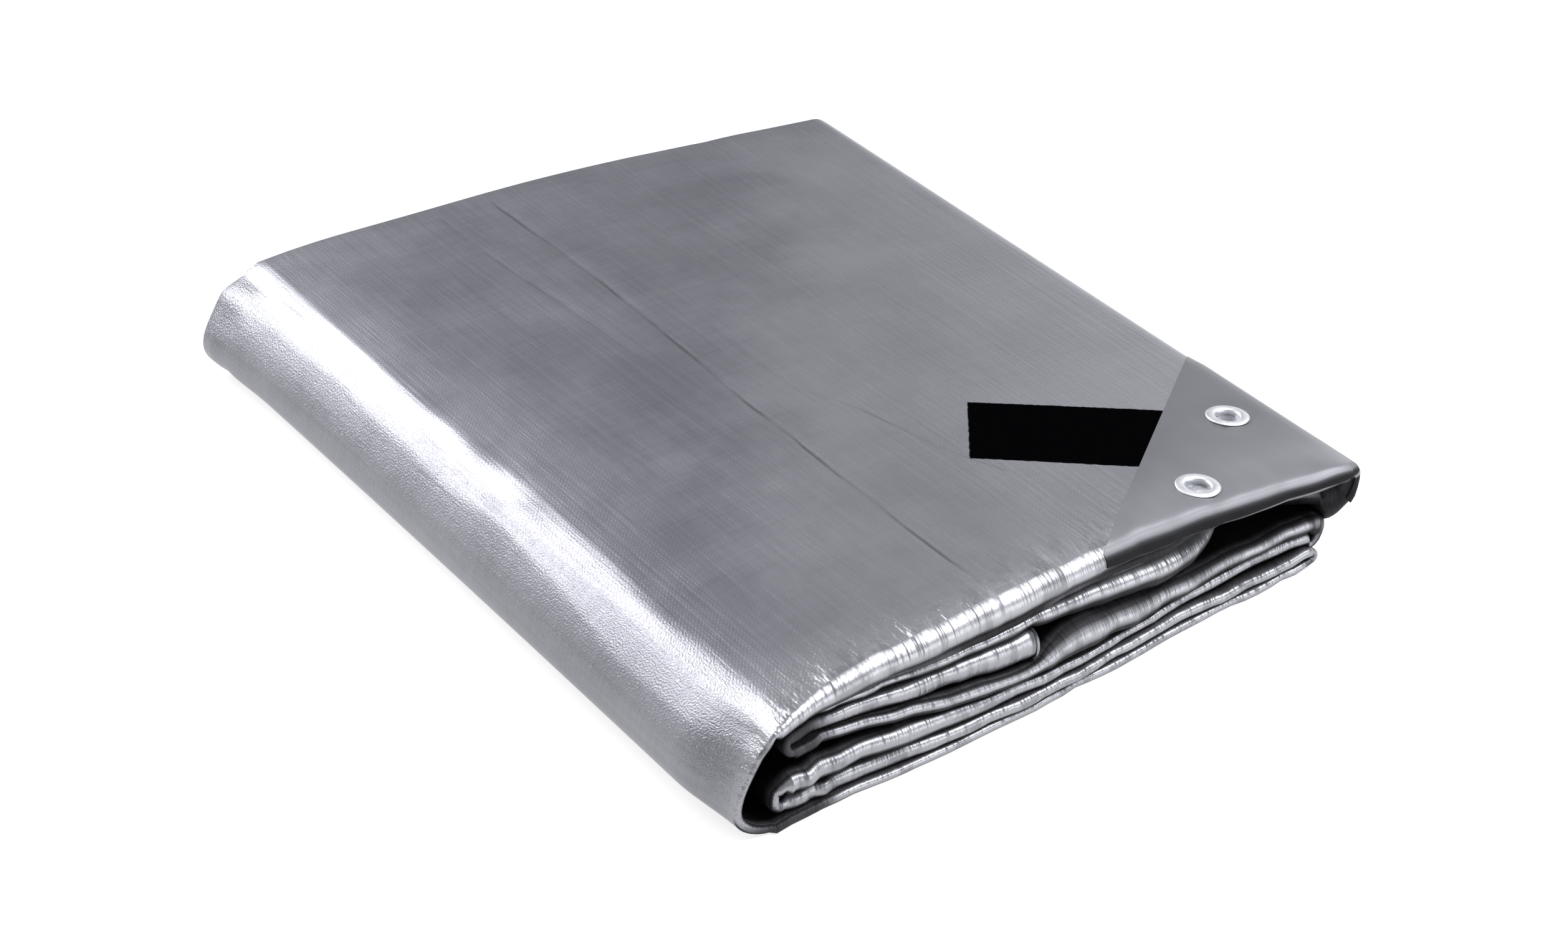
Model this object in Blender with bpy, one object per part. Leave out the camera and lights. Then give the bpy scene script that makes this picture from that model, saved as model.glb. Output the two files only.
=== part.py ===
"""A folded tarp: coated woven sheet, doubled over and then folded back and forth into a flat packet.

The sheet is doubled first, so its doubled-over edge makes a rounded fold at the front of every
layer. The doubled strip is then folded across: the outer layer runs over the top, round the thick
spine on the left and back under the packet, and the rest lies inside it, back and forth, ending in
a short flap. A corner patch with two eyelets is welded on the top layer.

X runs across the packet (spine at -X), Y along the spine (rounded layer ends at -Y), Z up. The
origin is on the ground under the middle of the packet. Lengths in the tables are millimetres.
"""
import math
from collections import namedtuple

import bmesh
import bpy
import numpy as np
from mathutils import Matrix, Vector

MILLIMETRE = 0.001

# Driving sizes
SHEET_THICKNESS = 1.2
PATCH_THICKNESS = 0.8
PIECE_GAP = 0.3
CENTRE_SHIFT_X = 2.76
CENTRE_SHIFT_Y = 4.58
SPINE_LENGTH = 456.0
BACK_FLARE = 20.0
SHOULDER_DRAW_IN = 10.0
CROWN_LOSS_AT_BACK = 0.066
FRONT_Y = -222.0
TOP_Z = 58.0

# The rounded spine, as the outer cloth's middle line
SPINE_X = -167.0
SPINE_FOOT_X = -165.0
SPINE_BULGE = 20.4
SPINE_LEAN = 0.2
SPINE_BACK_FLARE = 2.5
SPINE_FRONT_PINCH = 9.0
SPINE_PLY_GAP = 2.2

# Heights of the two cloths of each layer, at these places across the packet
ACROSS = (-167.0, -140.0, -60.0, -27.0, -8.0, 20.0, 90.0, 153.0)
Layer = namedtuple("Layer", "low high front_recess back_recess tuck")
LAYERS = {
    "top": Layer(
        low=(47.2, 45.2, 47.0, 47.6, 47.8, 48.0, 46.6, 44.8),
        high=(49.4, 52.6, 57.4, 58.2, 58.2, 57.6, 54.4, 50.6),
        front_recess=(0.0, 0.0, 0.0, 0.0, 0.0), back_recess=0.0, tuck=(0.0, 0.0, 1.0, 1.0, 0.0)),
    "under_top": Layer(
        low=(39.6, 39.6, 36.4, 36.8, 33.0, 28.8, 26.4, 28.0),
        high=(42.8, 42.8, 42.6, 44.0, 44.8, 45.4, 44.0, 42.2),
        front_recess=(6.0, 3.0, 6.0, 28.0, 7.0), back_recess=5.0, tuck=(0.0, 5.0, 7.0, 5.0, 2.0)),
    "flap": Layer(
        low=(33.4, 33.4, 25.6, 23.6, 23.6, 23.6, 23.6, 23.6),
        high=(37.2, 37.2, 34.2, 34.6, 34.6, 34.6, 34.6, 34.6),
        front_recess=(5.0, 2.0, 2.0, 2.0, 2.0), back_recess=11.0, tuck=(0.0, 0.0, 0.0, 0.0, 0.0)),
    "thin": Layer(
        low=(28.8, 28.8, 19.4, 17.4, 16.0, 14.8, 17.0, 18.6),
        high=(31.0, 31.0, 23.2, 21.2, 26.0, 24.6, 22.0, 24.0),
        front_recess=(3.0, 0.0, 3.0, 6.0, 3.0), back_recess=3.0, tuck=(0.0, 0.0, 0.0, 0.0, 0.0)),
    "lower": Layer(
        low=(16.4, 16.4, 11.2, 10.6, 10.2, 9.8, 12.4, 12.8),
        high=(20.4, 20.4, 15.6, 14.0, 12.8, 12.4, 14.8, 16.2),
        front_recess=(0.0, 2.0, 5.0, 8.0, 3.0), back_recess=8.0, tuck=(0.0, 0.0, 0.0, 0.0, 0.0)),
    "near_ground": Layer(
        low=(4.8,) * 8,
        high=(8.8, 8.8, 8.6, 8.2, 8.0, 7.6, 6.8, 6.8),
        front_recess=(3.0, 0.0, 2.0, 2.0, 1.0), back_recess=2.0, tuck=(0.0, 0.0, 0.0, 0.0, 0.0)),
    "ground": Layer(
        low=(0.6,) * 8,
        high=(2.8,) * 8,
        front_recess=(0.0, 1.0, 1.0, 1.0, 0.0), back_recess=6.0, tuck=(0.0, 0.0, 0.0, 0.0, 0.0)),
}
RECESS_AT = (-150.0, 0.0, 72.0, 112.0, 153.0)

# Ends and turns of the layers, in the order in which the sheet runs through them
Run = namedtuple("Run", "layer start end")
Turn = namedtuple("Turn", "before after x side")
COURSE = (
    Run("under_top", -157.0, 153.0),
    Turn("under_top", "top", 153.0, 1),
    Run("top", 153.0, SPINE_X),
    Turn("top", "ground", SPINE_X, 0),
    Run("ground", SPINE_FOOT_X, 140.0),
    Turn("ground", "near_ground", 140.0, 1),
    Run("near_ground", 140.0, -158.0),
    Turn("near_ground", "lower", -158.0, -1),
    Run("lower", -158.0, 146.0),
    Turn("lower", "thin", 146.0, 1),
    Run("thin", 146.0, -153.0),
    Turn("thin", "flap", -153.0, -1),
    Run("flap", -153.0, -27.0),
)
TOP_RUN = 2
RIGHT_TURN = 1
LOWER_LEFT_TURN = 7

# Where the nose of the front fold lies, and the back edge, along X
TOP_FRONT = ((-190.0, -244.0), (-167.0, -246.0), (-141.0, -239.0), (-110.0, -235.0), (-78.0, -233.0),
             (-28.0, -228.0), (22.0, -221.5), (94.0, -218.0), (153.0, -220.5))
GROUND_FRONT = ((-190.0, -240.0), (-165.0, -244.0), (-140.0, -242.0), (-46.0, -236.0),
                (74.0, -219.0), (140.0, -212.0))
BACK = ((-190.0, 229.0), (-160.0, 232.0), (-88.0, 236.0), (50.0, 236.0), (151.0, 231.5))
FOLD_DEPTH = 8.0
FOLD_DEPTH_SHARE = 0.72
TUCK_ANGLE = math.radians(70.0)
TUCK_WIDTH = math.radians(16.0)
EDGE_STAGGER = 3.0

# How finely the solid follows its folds
RUN_CUTS = (-157.0, -140.0, -100.0, -60.0, -27.0, -8.0, 20.0, 62.0, 104.0)
ALONG_CUTS = (0.0, 0.22, 0.44, 0.66, 0.79, 0.92)
FOLD_CUTS_DEGREES = (0.0, 28.0, 52.0, 70.0, 92.0, 122.0, 152.0)
TURN_STEPS = 4
WIDE_TURN_STEPS = 6
SPINE_STEPS = 9
SAME_PLACE = 2.0

# The corner patch, whose long side crosses the top face, and its eyelets
PATCH_LONG_SIDE = ((23.8, -210.4), (158.8, -97.9))
PATCH_FIRST_ALONG = 0.66
PATCH_LAST_FOLD = 4
PATCH_TURN_SHARE = 0.62
PATCH_CUTS = (104.0, 62.0, 20.0)
Eyelet = namedtuple("Eyelet", "name x y")
EYELETS = (Eyelet("eyelet_side", 139.5, -151.0), Eyelet("eyelet_front", 84.1, -196.0))
EYELET_OUTER_RADIUS = 10.5
EYELET_BORE_RADIUS = 5.5
EYELET_BARREL = 0.6
EYELET_RIM_RISE = 1.5
EYELET_RIM_THICKNESS = 0.8
EYELET_SEAT_GAP = 0.45
EYELET_SEGMENTS = 28
HOLE_CLEARANCE = 0.45
HOLE_SEGMENTS = 20
TARP_HOLE_SPAN = (-2.0, 3.0)
PATCH_HOLE_SPAN = (-1.0, 5.0)
PLACE_SEARCH_ROUNDS = 12


def smooth(value):
    """Zero to one with level ends."""
    value = np.clip(value, 0.0, 1.0)
    return value * value * (3.0 - 2.0 * value)


def curve(places, values, at):
    """A smooth line through a table's values."""
    places = np.asarray(places, float)
    values = np.asarray(values, float)
    slopes = np.gradient(values, places)
    i = int(np.clip(np.searchsorted(places, at) - 1, 0, len(places) - 2))
    width = places[i + 1] - places[i]
    f = float(np.clip((at - places[i]) / width, 0.0, 1.0))
    rise = values[i] * (1.0 - 3.0 * f**2 + 2.0 * f**3) + values[i + 1] * (3.0 * f**2 - 2.0 * f**3)
    lean = slopes[i] * (f - 2.0 * f**2 + f**3) + slopes[i + 1] * (f**3 - f**2)
    return rise + lean * width


def outline(points, at):
    """A smooth line through (place, value) pairs."""
    return curve([p[0] for p in points], [p[1] for p in points], at)


def layer_at(name, x):
    """Low and high cloth, front and back recess, and front tuck of a layer at x."""
    layer = LAYERS[name]
    across = min(max(x, RECESS_AT[0]), RECESS_AT[-1])
    return (curve(ACROSS, layer.low, x), curve(ACROSS, layer.high, x),
            curve(RECESS_AT, layer.front_recess, across), layer.back_recess,
            curve(RECESS_AT, layer.tuck, across))


def run_section(run, share):
    """Both cloths of a straight run: (inner x, inner z, outer x, outer z, recesses, tuck)."""
    x = run.start + (run.end - run.start) * share
    low, high, front, back, tuck = layer_at(run.layer, x)
    heading_right = run.end > run.start
    inner, outer = (high, low) if heading_right else (low, high)
    return x, inner, x, outer, front, back, tuck


def turn_section(turn, share):
    """Both cloths on a turn between two layers, as nested half ellipses."""
    before = layer_at(turn.before, turn.x)
    after = layer_at(turn.after, turn.x)
    angle = math.pi * share
    from_right = turn.side > 0
    inner = (before[1], after[0]) if from_right else (before[0], after[1])
    outer = (before[0], after[1]) if from_right else (before[1], after[0])
    found = []
    for start, end in (inner, outer):
        middle, half = (start + end) / 2.0, (end - start) / 2.0
        reach = abs(half) * (1.0 - 0.006 * abs(half))
        found += [turn.x + turn.side * reach * math.sin(angle), middle - half * math.cos(angle)]
    blend = [a + (b - a) * share for a, b in zip(before[2:], after[2:])]
    return (*found, *blend)


def spine_section(turn, share):
    """The two cloths of the spine: a full rounded back, widest below its middle."""
    above = layer_at(turn.before, SPINE_X)
    below = layer_at(turn.after, SPINE_FOOT_X)
    angle = math.pi * share
    centre = SPINE_X + (SPINE_FOOT_X - SPINE_X) * share
    found = []
    for inset in (SPINE_PLY_GAP, 0.0):
        start, end = above[1] - inset, below[0] + inset
        middle, half = (start + end) / 2.0, (end - start) / 2.0
        bulge = (SPINE_BULGE - inset) * (math.sin(angle) - SPINE_LEAN * math.sin(2.0 * angle))
        found += [centre - bulge, middle - half * math.cos(angle)]
    blend = [a + (b - a) * share for a, b in zip(above[2:], below[2:])]
    return (*found, *blend)


def section(place):
    """The course of the sheet across the packet: whole numbers are the stretches in order."""
    index = min(int(place), len(COURSE) - 1)
    stretch, share = COURSE[index], place - index
    if isinstance(stretch, Run):
        return run_section(stretch, share)
    if stretch.side:
        return turn_section(stretch, share)
    return spine_section(stretch, share)


def settle(x, y, z):
    """The packet's own unevenness: it flares to the back, sags there, and ripples softly."""
    along = float(np.clip((y - FRONT_Y) / SPINE_LENGTH, -0.05, 1.02))
    height = z / TOP_Z
    flare = BACK_FLARE * along * float(smooth((x + 100.0) / 240.0))
    draw_in = SHOULDER_DRAW_IN * along * height**2 * float(smooth((-95.0 - x) / 70.0))
    draw_in -= SPINE_BACK_FLARE * float(smooth((y - 170.0) / 60.0) * smooth((-165.0 - x) / 20.0))
    pinch = float(smooth((-205.0 - y) / 38.0) * smooth((-160.0 - x) / 16.0))
    draw_in += SPINE_FRONT_PINCH * pinch * math.sin(math.pi * min(max(height, 0.0), 1.0))
    crown = math.sin(math.pi * min(max((x - SPINE_X) / 320.0, 0.0), 1.0))
    sag = CROWN_LOSS_AT_BACK * float(smooth(along)) * crown
    ripple = math.sin(0.021 * x + 0.013 * y + 0.6) * math.sin(0.017 * y - 0.008 * x)
    ripple *= 0.9 * height * height * crown
    lift = z - SHEET_THICKNESS / 2.0
    return x + flare + draw_in, y, SHEET_THICKNESS / 2.0 + lift * (1.0 - sag) + ripple


def sheet_point(place, lap):
    """A point of the cloth's middle. lap: 0 to 1 inner cloth, to 2 front fold, to 3 outer cloth."""
    xi, zi, xo, zo, front_recess, back_recess, tuck = section(place)
    xm, zm = (xi + xo) / 2.0, (zi + zo) / 2.0
    height = min(max(zm / TOP_Z, 0.0), 1.0)
    nose = outline(GROUND_FRONT, xm) * (1.0 - height) + outline(TOP_FRONT, xm) * height
    nose += front_recess
    depth = min(FOLD_DEPTH_SHARE * math.hypot(xi - xo, zi - zo), FOLD_DEPTH)
    front = nose + depth
    back = outline(BACK, xm) - back_recess
    if lap <= 1.0:
        return settle(xi, back - EDGE_STAGGER + (front - back + EDGE_STAGGER) * lap, zi)
    if lap >= 2.0:
        return settle(xo, front + (back - front) * (lap - 2.0), zo)
    angle = math.pi * (lap - 1.0)
    lobe = tuck * math.exp(-((angle - TUCK_ANGLE) / TUCK_WIDTH) ** 2)
    side = math.cos(angle)
    return settle(xm + (xi - xo) / 2.0 * side, front - depth * math.sin(angle) + lobe,
                  zm + (zi - zo) / 2.0 * side)


def sheet_normal(place, lap):
    """The side of the sheet that faces into the packet on its outer cloth."""
    step = 0.002
    last = len(COURSE)
    a, b = max(place - step, 0.0), min(place + step, last - 1e-6)
    c, d = max(lap - step, 0.0), min(lap + step, 3.0)
    across = np.subtract(sheet_point(b, lap), sheet_point(a, lap))
    around = np.subtract(sheet_point(place, d), sheet_point(place, c))
    normal = np.cross(across, around)
    return normal / np.linalg.norm(normal)


def offset_point(place, lap, offset):
    """A sheet point moved off the cloth's middle, in metres in the part's own frame."""
    point = np.array(sheet_point(place, lap)) + sheet_normal(place, lap) * offset
    point += (CENTRE_SHIFT_X, CENTRE_SHIFT_Y, 0.0)
    return point * MILLIMETRE


def places_of_course():
    """Where the solid has its sections, all runs being cut at the same places across."""
    places = []
    for index, stretch in enumerate(COURSE):
        if isinstance(stretch, Run):
            low, high = sorted((stretch.start, stretch.end))
            cuts = [stretch.start] + [x for x in RUN_CUTS if low + SAME_PLACE < x < high - SAME_PLACE]
            shares = sorted((x - stretch.start) / (stretch.end - stretch.start) for x in cuts)
        else:
            steps = {0: SPINE_STEPS, 1: TURN_STEPS, -1: TURN_STEPS}[stretch.side]
            if index in (RIGHT_TURN, LOWER_LEFT_TURN):
                steps = WIDE_TURN_STEPS
            shares = [i / steps for i in range(steps)]
        places += [index + share for share in shares]
    return places + [len(COURSE) - 1e-6]


def laps_of_sheet():
    """Where each section is cut along the packet: inner cloth, front fold, outer cloth."""
    inner = list(ALONG_CUTS)
    fold = [1.0 + degrees / 180.0 for degrees in FOLD_CUTS_DEGREES]
    outer = [3.0 - share for share in reversed(ALONG_CUTS)]
    return inner + fold + [2.0] + outer


def new_object(name, mesh_data, material):
    """Finish a bmesh as a named object."""
    bmesh.ops.recalc_face_normals(mesh_data, faces=mesh_data.faces)
    mesh = bpy.data.meshes.new(name)
    mesh_data.to_mesh(mesh)
    mesh_data.free()
    mesh.materials.append(material)
    made = bpy.data.objects.new(name, mesh)
    bpy.context.scene.collection.objects.link(made)
    return made


def make_material(name, colour, roughness, metallic):
    """A plain Principled material."""
    material = bpy.data.materials.new(name)
    material.use_nodes = True
    shader = material.node_tree.nodes["Principled BSDF"]
    shader.inputs["Base Color"].default_value = (*colour, 1.0)
    shader.inputs["Roughness"].default_value = roughness
    shader.inputs["Metallic"].default_value = metallic
    return material


def sheet_solid(places, laps, near, far):
    """The closed solid between two offsets of a stretch of the sheet."""
    mesh_data = bmesh.new()
    sides = []
    for offset in (near, far):
        sides.append([[mesh_data.verts.new(offset_point(p, lap, offset)) for lap in laps]
                      for p in places])
    rows, columns = len(places), len(laps)
    for i in range(rows - 1):
        for j in range(columns - 1):
            for flip, side in enumerate(sides):
                ring = [side[i][j], side[i + 1][j], side[i + 1][j + 1], side[i][j + 1]]
                mesh_data.faces.new(ring[::-1] if flip else ring)
    rim = [(i, 0) for i in range(rows)] + [(rows - 1, j) for j in range(1, columns)]
    rim += [(i, columns - 1) for i in range(rows - 2, -1, -1)]
    rim += [(0, j) for j in range(columns - 2, 0, -1)]
    for (i, j), (k, m) in zip(rim, rim[1:] + rim[:1]):
        mesh_data.faces.new([sides[0][i][j], sides[1][i][j], sides[1][k][m], sides[0][k][m]])
    return mesh_data


def top_place(x, y):
    """Place and lap of the top layer's outer cloth under a point of the part's frame."""
    run = COURSE[TOP_RUN]
    want_x, want_y = x - CENTRE_SHIFT_X, y - CENTRE_SHIFT_Y
    place, lap = TOP_RUN + 0.5, 2.5
    for _ in range(PLACE_SEARCH_ROUNDS):
        here = sheet_point(place, lap)
        place -= (want_x - here[0]) / (run.start - run.end)
        lap += (want_y - here[1]) / SPINE_LENGTH
    return place, lap


def top_frame(x, y):
    """Matrix whose Z stands out of the top layer's cloth at (x, y), in millimetres."""
    place, lap = top_place(x, y)
    up = Vector(-sheet_normal(place, lap))
    spot = Vector(sheet_point(place, lap)) + Vector((CENTRE_SHIFT_X, CENTRE_SHIFT_Y, 0.0))
    return Matrix.Translation(spot) @ Vector((0.0, 0.0, 1.0)).rotation_difference(up).to_matrix().to_4x4()


def eyelet_frame(eyelet):
    """Frame of an eyelet, in metres, its origin in the middle of the tarp's cloth."""
    return Matrix.Scale(MILLIMETRE, 4) @ top_frame(eyelet.x, eyelet.y)


def hole_cutter(eyelet, low, high):
    """A guide that cuts an eyelet's hole between two heights above the cloth's middle."""
    radius = EYELET_BORE_RADIUS + EYELET_BARREL + HOLE_CLEARANCE
    mesh_data = bmesh.new()
    stand = Matrix.Translation((0.0, 0.0, (low + high) / 2.0))
    bmesh.ops.create_cone(mesh_data, cap_ends=True, segments=HOLE_SEGMENTS, radius1=radius,
                          radius2=radius, depth=high - low, matrix=eyelet_frame(eyelet) @ stand)
    mesh = bpy.data.meshes.new("cutter")
    mesh_data.to_mesh(mesh)
    mesh_data.free()
    cutter = bpy.data.objects.new("cutter", mesh)
    cutter.hide_render = True
    cutter.display_type = "WIRE"
    bpy.context.scene.collection.objects.link(cutter)
    return cutter


def cut_with(piece, cutter):
    """Take a cutter out of a piece."""
    modifier = piece.modifiers.new("hole", "BOOLEAN")
    modifier.operation = "DIFFERENCE"
    modifier.solver = "EXACT"
    modifier.object = cutter


def build_tarp():
    """The whole sheet as one solid, with the two eyelet holes through its top cloth."""
    material = make_material("silver_cloth", (0.30, 0.30, 0.34), 0.38, 0.35)
    mesh_data = sheet_solid(places_of_course(), laps_of_sheet(),
                            -SHEET_THICKNESS / 2.0, SHEET_THICKNESS / 2.0)
    tarp = new_object("tarp", mesh_data, material)
    for eyelet in EYELETS:
        cut_with(tarp, hole_cutter(eyelet, *TARP_HOLE_SPAN))
    return tarp


def build_patch():
    """The welded corner patch: it follows the top cloth and turns down over both its edges."""
    material = make_material("patch_film", (0.42, 0.42, 0.46), 0.3, 0.25)
    turn_places = [RIGHT_TURN + i / WIDE_TURN_STEPS for i in range(WIDE_TURN_STEPS + 1)]
    turn_places = [p for p in turn_places if p > RIGHT_TURN + 1.0 - PATCH_TURN_SHARE]
    run = COURSE[TOP_RUN]
    run_places = [TOP_RUN + (x - run.start) / (run.end - run.start) for x in PATCH_CUTS]
    places = turn_places + run_places
    fold = [1.0 + degrees / 180.0 for degrees in FOLD_CUTS_DEGREES[PATCH_LAST_FOLD:]]
    along = [3.0 - share for share in reversed(ALONG_CUTS) if share >= PATCH_FIRST_ALONG]
    near = -(SHEET_THICKNESS / 2.0 + PIECE_GAP)
    mesh_data = sheet_solid(places, fold + [2.0] + along, near - PATCH_THICKNESS, near)
    start = Vector((*PATCH_LONG_SIDE[0], 0.0)) * MILLIMETRE
    end = Vector((*PATCH_LONG_SIDE[1], 0.0)) * MILLIMETRE
    away = (end - start).cross(Vector((0.0, 0.0, 1.0)))
    whole = mesh_data.verts[:] + mesh_data.edges[:] + mesh_data.faces[:]
    cut = bmesh.ops.bisect_plane(mesh_data, geom=whole, dist=1e-7, plane_co=start,
                                 plane_no=away, clear_inner=True)
    edges = [item for item in cut["geom_cut"] if isinstance(item, bmesh.types.BMEdge)]
    bmesh.ops.contextual_create(mesh_data, geom=edges)
    patch = new_object("corner_patch", mesh_data, material)
    for eyelet in EYELETS:
        cut_with(patch, hole_cutter(eyelet, *PATCH_HOLE_SPAN))
    return patch


def build_eyelet(eyelet):
    """A pressed eyelet: domed rim over the patch, barrel through the cloth, curled rim under it."""
    material = make_material("eyelet_metal", (0.72, 0.73, 0.76), 0.3, 1.0)
    top = SHEET_THICKNESS / 2.0 + PIECE_GAP + PATCH_THICKNESS + EYELET_SEAT_GAP
    foot = -(SHEET_THICKNESS / 2.0 + EYELET_SEAT_GAP)
    bore, outer = EYELET_BORE_RADIUS, EYELET_OUTER_RADIUS
    barrel = bore + EYELET_BARREL
    middle = (bore + outer) / 2.0
    profile = (
        (barrel, top + 0.1), (outer - 0.4, top), (outer, top + 0.5),
        (outer - 0.9, top + 0.7 * EYELET_RIM_RISE), (middle, top + EYELET_RIM_RISE),
        (bore + 1.1, top + 0.85 * EYELET_RIM_RISE), (bore, top + 0.2),
        (bore, foot - 0.3), (bore + 0.9, foot - EYELET_RIM_THICKNESS),
        (outer - 2.0, foot - EYELET_RIM_THICKNESS), (outer - 1.6, foot), (barrel, foot),
    )
    mesh_data = bmesh.new()
    frame = eyelet_frame(eyelet)
    rings = []
    for step in range(EYELET_SEGMENTS):
        angle = 2.0 * math.pi * step / EYELET_SEGMENTS
        rings.append([mesh_data.verts.new(frame @ Vector((r * math.cos(angle), r * math.sin(angle), z)))
                      for r, z in profile])
    count = len(profile)
    for step in range(EYELET_SEGMENTS):
        here, following = rings[step], rings[(step + 1) % EYELET_SEGMENTS]
        for k in range(count):
            m = (k + 1) % count
            mesh_data.faces.new([here[k], here[m], following[m], following[k]])
    made = new_object(eyelet.name, mesh_data, material)
    made.data.shade_smooth()
    return made


for leftover in list(bpy.data.objects):
    bpy.data.objects.remove(leftover)
build_tarp()
build_patch()
for one_eyelet in EYELETS:
    build_eyelet(one_eyelet)
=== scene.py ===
import math
from collections import namedtuple

import bmesh
import bpy
import numpy as np
from mathutils import Matrix, Vector


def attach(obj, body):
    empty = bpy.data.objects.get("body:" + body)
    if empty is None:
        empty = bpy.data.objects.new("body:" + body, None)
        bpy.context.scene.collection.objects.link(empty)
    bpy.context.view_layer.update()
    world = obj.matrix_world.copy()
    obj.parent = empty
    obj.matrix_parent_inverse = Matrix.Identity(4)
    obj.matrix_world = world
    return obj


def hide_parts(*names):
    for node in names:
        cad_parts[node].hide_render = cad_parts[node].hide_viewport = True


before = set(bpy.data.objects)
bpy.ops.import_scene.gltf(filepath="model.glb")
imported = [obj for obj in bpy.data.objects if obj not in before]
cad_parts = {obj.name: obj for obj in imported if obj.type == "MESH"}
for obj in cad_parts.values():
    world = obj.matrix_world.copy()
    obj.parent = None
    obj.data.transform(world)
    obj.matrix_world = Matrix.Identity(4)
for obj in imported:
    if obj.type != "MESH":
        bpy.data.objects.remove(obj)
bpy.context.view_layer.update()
scene = bpy.context.scene


# The folded sheet
# One coated woven sheet with rolled hems, about 2.3 by 1.9 m: folded in half twice to a strip of four
# plies, then back and forth across into a packet whose widest turn is the full, soft spine at its left.
MM = 0.001
CENTRE_SHIFT = (2.76, 4.58, 0.0)
FRONT_Y, SPINE_LENGTH, TOP_Z = -222.0, 456.0, 58.0
SPINE_X, SPINE_FOOT_X, RIGHT_X = -167, -165, 153
SPINE_BULGE, SPINE_LEAN, SPINE_INSET = 20.4, 0.2, 2.2
BACK_FLARE, SHOULDER_DRAW_IN, SPINE_BACK_FLARE, SPINE_PINCH, SPINE_BELLY = 20.0, 10.0, 2.5, 9.0, 2.2
CROWN_LOSS, RIPPLE = 0.066, 0.9

# Heights of each layer's two cloths at these places across the packet, and how far its front fold, its
# back fold and the crease in its front fold lie inside the packet's own outline
ACROSS = (-167, -140, -60, -27, -8, 20, 90, 153)
RECESS_AT = (-150, 0, 72, 112, 153)
Layer = namedtuple("Layer", "low high front_recess back_recess tuck")
LAYERS = {
    "top": Layer(
        low=(47.2, 45.2, 47.0, 47.6, 47.8, 48.0, 46.6, 44.8),
        high=(49.4, 52.6, 57.4, 58.2, 58.2, 57.6, 54.4, 50.6),
        front_recess=(0, 0, 0, 0, 0), back_recess=0, tuck=(0, 0, 1, 1, 0)),
    "under_top": Layer(
        low=(39.6, 39.6, 36.4, 36.8, 33.0, 28.8, 26.4, 28.0),
        high=(42.8, 42.8, 42.6, 44.0, 44.8, 45.4, 44.0, 42.2),
        front_recess=(6, 3, 6, 28, 7), back_recess=5, tuck=(0, 5, 7, 5, 2)),
    "flap": Layer(
        low=(33.4, 33.4, 25.6, 23.6, 23.6, 23.6, 23.6, 23.6),
        high=(37.2, 37.2, 34.2, 34.6, 34.6, 34.6, 34.6, 34.6),
        front_recess=(5, 2, 2, 2, 2), back_recess=11, tuck=(0, 0, 0, 0, 0)),
    "thin": Layer(
        low=(28.8, 28.8, 19.4, 17.4, 16.0, 14.8, 17.0, 18.6),
        high=(31.0, 31.0, 23.2, 21.2, 26.0, 24.6, 22.0, 24.0),
        front_recess=(3, 0, 3, 6, 3), back_recess=3, tuck=(0, 0, 0, 0, 0)),
    "lower": Layer(
        low=(16.4, 16.4, 11.2, 10.6, 10.2, 9.8, 12.4, 12.8),
        high=(20.4, 20.4, 15.6, 14.0, 12.8, 12.4, 14.8, 16.2),
        front_recess=(0, 2, 5, 8, 3), back_recess=8, tuck=(0, 0, 0, 0, 0)),
    "near_ground": Layer(
        low=(4.8,) * 8, high=(8.8, 8.8, 8.6, 8.2, 8.0, 7.6, 6.8, 6.8),
        front_recess=(3, 0, 2, 2, 1), back_recess=2, tuck=(0, 0, 0, 0, 0)),
    "ground": Layer(
        low=(0.6,) * 8, high=(2.8,) * 8,
        front_recess=(0, 1, 1, 1, 0), back_recess=6, tuck=(0, 0, 0, 0, 0)),
}

# The strip's course from its free end under the top to its free end on the flap
Run = namedtuple("Run", "layer start end step")
Turn = namedtuple("Turn", "before after x side steps")
COURSE = (
    Run("under_top", -157, RIGHT_X, 4.6),
    Turn("under_top", "top", RIGHT_X, 1, 14),
    Run("top", RIGHT_X, SPINE_X, 4.0),
    Turn("top", "ground", SPINE_X, 0, 40),
    Run("ground", SPINE_FOOT_X, 140, 8.0),
    Turn("ground", "near_ground", 140, 1, 8),
    Run("near_ground", 140, -158, 5.0),
    Turn("near_ground", "lower", -158, -1, 12),
    Run("lower", -158, 146, 4.6),
    Turn("lower", "thin", 146, 1, 8),
    Run("thin", 146, -153, 4.6),
    Turn("thin", "flap", -153, -1, 8),
    Run("flap", -153, -27, 4.0),
)
(UNDER_TOP, RIGHT_TURN, TOP, SPINE, GROUND, GROUND_TURN, NEAR_GROUND, LOW_LEFT_TURN, LOWER,
 LOW_RIGHT_TURN, THIN, FLAP_TURN, FLAP) = range(len(COURSE))

# How each stretch's front fold looks: the seed of its crinkles, how much of its nose stays bright, clear of
# the painted shade on its flanks, and how blunt the nose is (less is blunter)
Nose = namedtuple("Nose", "seed lit blunt")
NOSES = np.array((
    Nose(0.3, 0.16, 0.8), Nose(1.1, 0.08, 0.8), Nose(1.1, 0.08, 0.8), Nose(1.1, 0.08, 0.8),
    Nose(2.0, 0.3, 0.5), Nose(2.0, 0.3, 0.8), Nose(2.9, 0.34, 0.5), Nose(2.9, 0.3, 0.8),
    Nose(3.7, 0.28, 0.5), Nose(3.7, 0.14, 0.8), Nose(4.6, 0.16, 0.8), Nose(4.6, 0.3, 0.8),
    Nose(5.3, 0.36, 0.5)))

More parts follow.
